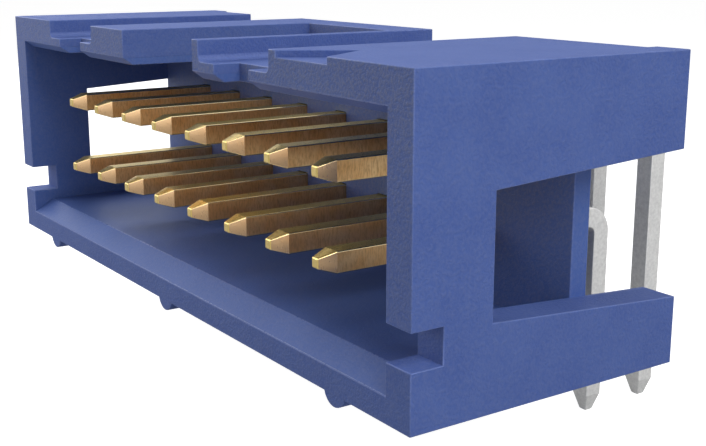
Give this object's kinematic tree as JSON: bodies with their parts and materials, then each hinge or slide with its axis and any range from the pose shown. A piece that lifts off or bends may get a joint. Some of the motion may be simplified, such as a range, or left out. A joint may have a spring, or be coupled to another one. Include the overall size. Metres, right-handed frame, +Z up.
{
  "type": "idc box header",
  "caption": "Open-front plastic box connector whose square posts bend down behind it into a circuit board; slots in its walls key and latch the plug of a flat ribbon cable.",
  "frame": {"origin": "middle of the housing's flat underside, the side that faces the board", "axes": "+X along the rows towards contact 1, -Y out of the mating opening, +Z up from the board"},
  "size_m": [0.0276, 0.0141, 0.0124],
  "materials": {
    "housing": "moulded blue thermoplastic with a fine grain",
    "contact": "gold-plated mating posts, matte tin on the bends and tails"
  },
  "bodies": {
    "root": {"housing": "housing", "upper_contact_1": "contact", "upper_contact_2": "contact", "upper_contact_3": "contact", "upper_contact_4": "contact", "upper_contact_5": "contact", "upper_contact_6": "contact", "upper_contact_7": "contact", "upper_contact_8": "contact", "lower_contact_1": "contact", "lower_contact_2": "contact", "lower_contact_3": "contact", "lower_contact_4": "contact", "lower_contact_5": "contact", "lower_contact_6": "contact", "lower_contact_7": "contact", "lower_contact_8": "contact"}
  },
  "joints": []
}
